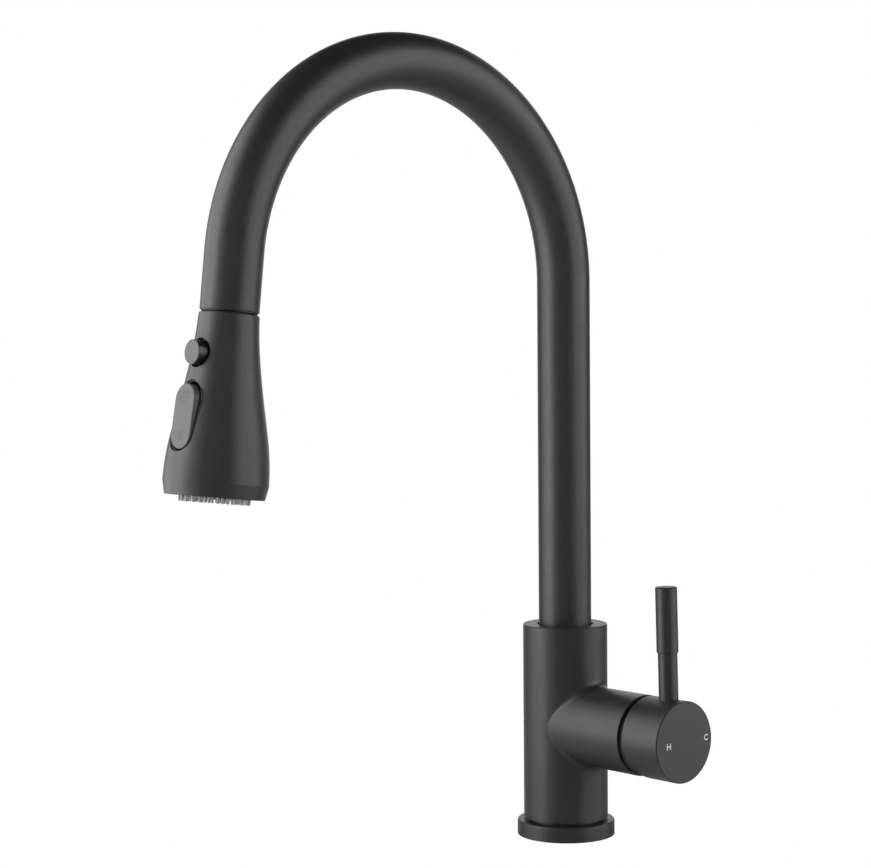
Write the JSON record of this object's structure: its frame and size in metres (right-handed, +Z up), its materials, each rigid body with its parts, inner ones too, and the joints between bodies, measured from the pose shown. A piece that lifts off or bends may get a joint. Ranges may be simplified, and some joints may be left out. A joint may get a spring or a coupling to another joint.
{
  "type": "pull-down kitchen faucet",
  "caption": "Deck-mounted kitchen faucet: swivelling gooseneck spout, pull-down two-mode spray head with pause button, and a side lever that mixes hot and cold water.",
  "frame": {"origin": "centre of the threaded shank bore in the plane of the base's underside, which rests on the deck", "axes": "+Z up along the column, -Y towards the spout's outlet, +X out along the valve branch to the lever"},
  "size_m": [0.111, 0.2792, 0.4176],
  "materials": {
    "black_coat": "satin matte black powder coat",
    "black_shell": "moulded shell with the same satin black coat",
    "black_button": "fine textured button plastic",
    "black_plastic": "moulded black plastic",
    "brass": "machined",
    "steel": "stainless steel",
    "rubber": "moulded rubber",
    "silicone": "soft grey silicone",
    "grey_plastic": "low friction plastic",
    "ceramic": "lapped alumina",
    "hose_braid": "braided nylon over a rubber tube",
    "white_mark": "white filled marking"
  },
  "bodies": {
    "body": {"base_insert": "black_coat", "base_flange": "black_coat", "base_gasket": "rubber", "faucet_body": "black_coat", "spout_screw": "steel", "cartridge_base": "grey_plastic", "cartridge_seals": "rubber", "fixed_disc": "ceramic", "cartridge_housing": "grey_plastic", "cartridge_nut": "brass", "bonnet": "black_coat"},
    "spout": {"spout_foot": "brass", "glide_rings": "grey_plastic", "spout_seal": "rubber", "thrust_washer": "grey_plastic", "spout_tube": "black_coat", "dock_collar": "black_plastic", "spray_hose": "hose_braid", "hose_ferrule_lower": "steel", "hose_tail": "brass"},
    "hose_end": {"hose_ferrule_upper": "steel", "hose_nipple": "brass", "swivel_seal": "rubber"},
    "spray_head": {"conical_nut": "brass", "filter_washer": "rubber", "sprayer_core": "black_plastic", "check_valve_seat": "grey_plastic", "check_valve_spring": "steel", "sprayer_shell": "black_shell", "pause_ring": "black_plastic", "pause_spring": "steel", "rocker_tray": "black_plastic", "rocker_pin": "steel", "nozzle_plate": "black_plastic", "nozzle_mat": "silicone", "aerator": "black_plastic"},
    "check_poppet": {"check_valve_poppet": "grey_plastic"},
    "pause_button": {"pause_button": "black_button", "pause_plunger": "steel"},
    "rocker": {"mode_rocker": "black_button"},
    "diverter": {"diverter_spool": "black_plastic", "diverter_seals": "rubber"},
    "rotor": {"cartridge_rotor": "grey_plastic", "stem_pin": "steel"},
    "handle": {"cartridge_stem": "steel", "handle_hub": "black_coat", "hot_mark": "white_mark", "cold_mark": "white_mark", "handle_screw": "steel", "screw_plug": "black_coat", "lever_rod": "black_coat", "lever_grip": "black_coat"},
    "ceramic": {"moving_disc": "ceramic", "disc_carrier": "grey_plastic"}
  },
  "joints": [
    {"name": "spout_swivel", "type": "hinge", "parent": "body", "child": "spout", "pos_m": [0, 0, 0.09], "axis": [0, 0, 1], "continuous": true},
    {"name": "head_pull", "type": "slide", "parent": "spout", "child": "hose_end", "axis": [0, -0.1139, -0.9935], "range_m": [0, 0.18], "stiffness_N_per_m": 10, "springref_m": -0.6, "deforming": ["spray_hose"]},
    {"name": "head_spin", "type": "hinge", "parent": "hose_end", "child": "spray_head", "pos_m": [0, -0.21953, 0.27934], "axis": [0, -0.1139, -0.9935], "continuous": true},
    {"name": "check_valve_lift", "type": "slide", "parent": "spray_head", "child": "check_poppet", "axis": [0, -0.1139, -0.9935], "range_m": [0, 0.0014], "stiffness_N_per_m": 100, "springref_m": -0.002, "deforming": ["check_valve_spring"]},
    {"name": "pause_press", "type": "slide", "parent": "spray_head", "child": "pause_button", "axis": [0, 0.9935, -0.1139], "range_m": [0, 0.002], "stiffness_N_per_m": 800, "springref_m": -0.002, "deforming": ["pause_spring"]},
    {"name": "mode_select", "type": "hinge", "parent": "spray_head", "child": "rocker", "pos_m": [0, -0.24144, 0.2311], "axis": [-1, 0, 0], "range_deg": [0, 12.4]},
    {"name": "diverter_shift", "type": "slide", "parent": "spray_head", "child": "diverter", "axis": [0, -0.1139, -0.9935], "range_m": [0, 0.00253]},
    {"name": "temperature", "type": "hinge", "parent": "body", "child": "rotor", "pos_m": [0.05, 0, 0.0602], "axis": [1, 0, 0], "range_deg": [-45, 45]},
    {"name": "flow", "type": "hinge", "parent": "rotor", "child": "handle", "pos_m": [0.05, 0, 0.0602], "axis": [0, 1, 0], "range_deg": [0, 18]},
    {"name": "disc_shift", "type": "slide", "parent": "rotor", "child": "ceramic", "axis": [0, 0, 1], "range_m": [0, 0.0044]}
  ],
  "couplings": [
    {"joint": "mode_select", "follows": "diverter_shift", "rad_per_m": 85.5},
    {"joint": "disc_shift", "follows": "flow", "m_per_rad": 0.013771}
  ]
}
